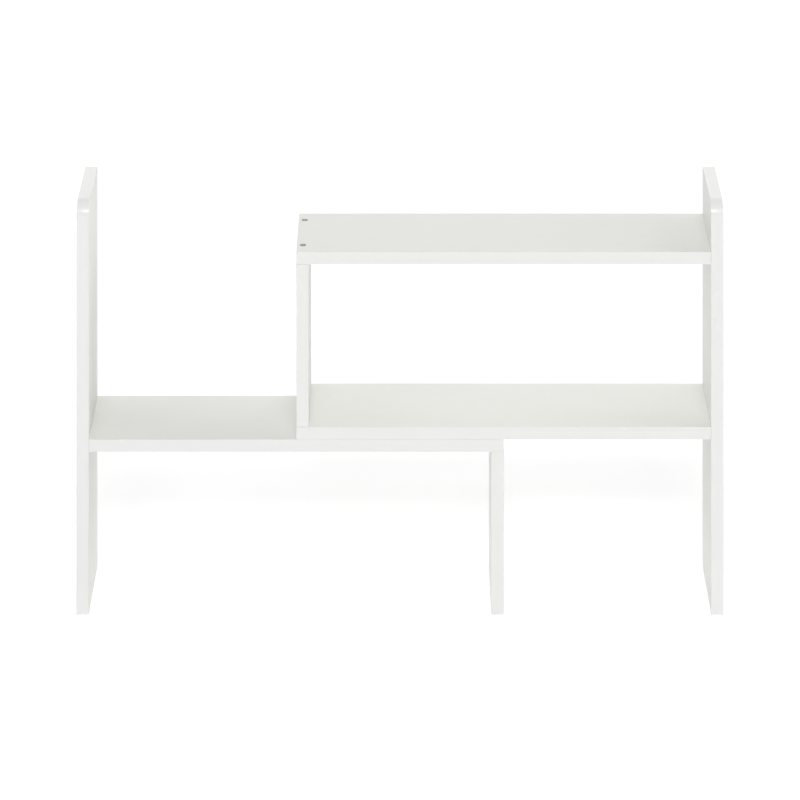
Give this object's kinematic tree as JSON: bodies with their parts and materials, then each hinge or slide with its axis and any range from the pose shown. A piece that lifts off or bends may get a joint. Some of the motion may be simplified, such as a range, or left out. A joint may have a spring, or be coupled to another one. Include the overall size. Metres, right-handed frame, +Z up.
{
  "type": "desk hutch",
  "caption": "Expandable desktop hutch of white laminated boards: two interlocking shelf units with tall, round-cornered side panels; the right unit slides sideways on the left unit's shelf.",
  "frame": {"origin": "on the desk, under the middle of the hutch's box at the width shown (not extended, not closed)", "axes": "+Z up, front towards -Y, the taller stack of shelves (right unit) towards +X"},
  "size_m": [0.78, 0.12, 0.495],
  "materials": {
    "white_laminated_board": "smooth white melamine, satin",
    "white_edge_band": "smooth white edge band, a little glossier than the boards' faces",
    "zinc_plated_screw": "zinc-plated steel, cross recess",
    "beech_dowel": "raw fluted beech"
  },
  "bodies": {
    "left_unit": {"left_side_panel": "white_laminated_board", "left_shelf": "white_laminated_board", "centre_leg": "white_laminated_board", "left_side_panel_front_band": "white_edge_band", "left_side_panel_back_band": "white_edge_band", "left_side_panel_foot_band": "white_edge_band", "left_shelf_front_band": "white_edge_band", "left_shelf_back_band": "white_edge_band", "left_shelf_end_band": "white_edge_band", "centre_leg_front_band": "white_edge_band", "centre_leg_back_band": "white_edge_band", "centre_leg_foot_band": "white_edge_band", "left_panel_to_left_shelf_screws": "zinc_plated_screw", "left_shelf_to_centre_leg_screws": "zinc_plated_screw", "left_panel_to_left_shelf_dowel": "beech_dowel", "left_shelf_to_centre_leg_dowel": "beech_dowel"},
    "right_unit": {"right_side_panel": "white_laminated_board", "lower_shelf": "white_laminated_board", "upper_shelf": "white_laminated_board", "divider": "white_laminated_board", "right_side_panel_front_band": "white_edge_band", "right_side_panel_back_band": "white_edge_band", "right_side_panel_foot_band": "white_edge_band", "lower_shelf_front_band": "white_edge_band", "lower_shelf_back_band": "white_edge_band", "lower_shelf_end_band": "white_edge_band", "upper_shelf_front_band": "white_edge_band", "upper_shelf_back_band": "white_edge_band", "upper_shelf_end_band": "white_edge_band", "divider_front_band": "white_edge_band", "divider_back_band": "white_edge_band", "right_panel_to_lower_shelf_screws": "zinc_plated_screw", "right_panel_to_upper_shelf_screws": "zinc_plated_screw", "lower_shelf_to_divider_screws": "zinc_plated_screw", "upper_shelf_to_divider_screws": "zinc_plated_screw", "right_panel_to_lower_shelf_dowel": "beech_dowel", "right_panel_to_upper_shelf_dowel": "beech_dowel", "lower_shelf_to_divider_dowel": "beech_dowel", "upper_shelf_to_divider_dowel": "beech_dowel"}
  },
  "joints": [
    {"name": "extension", "type": "slide", "parent": "left_unit", "child": "right_unit", "axis": [1, 0, 0], "range_m": [-0.249, 0.22]}
  ]
}
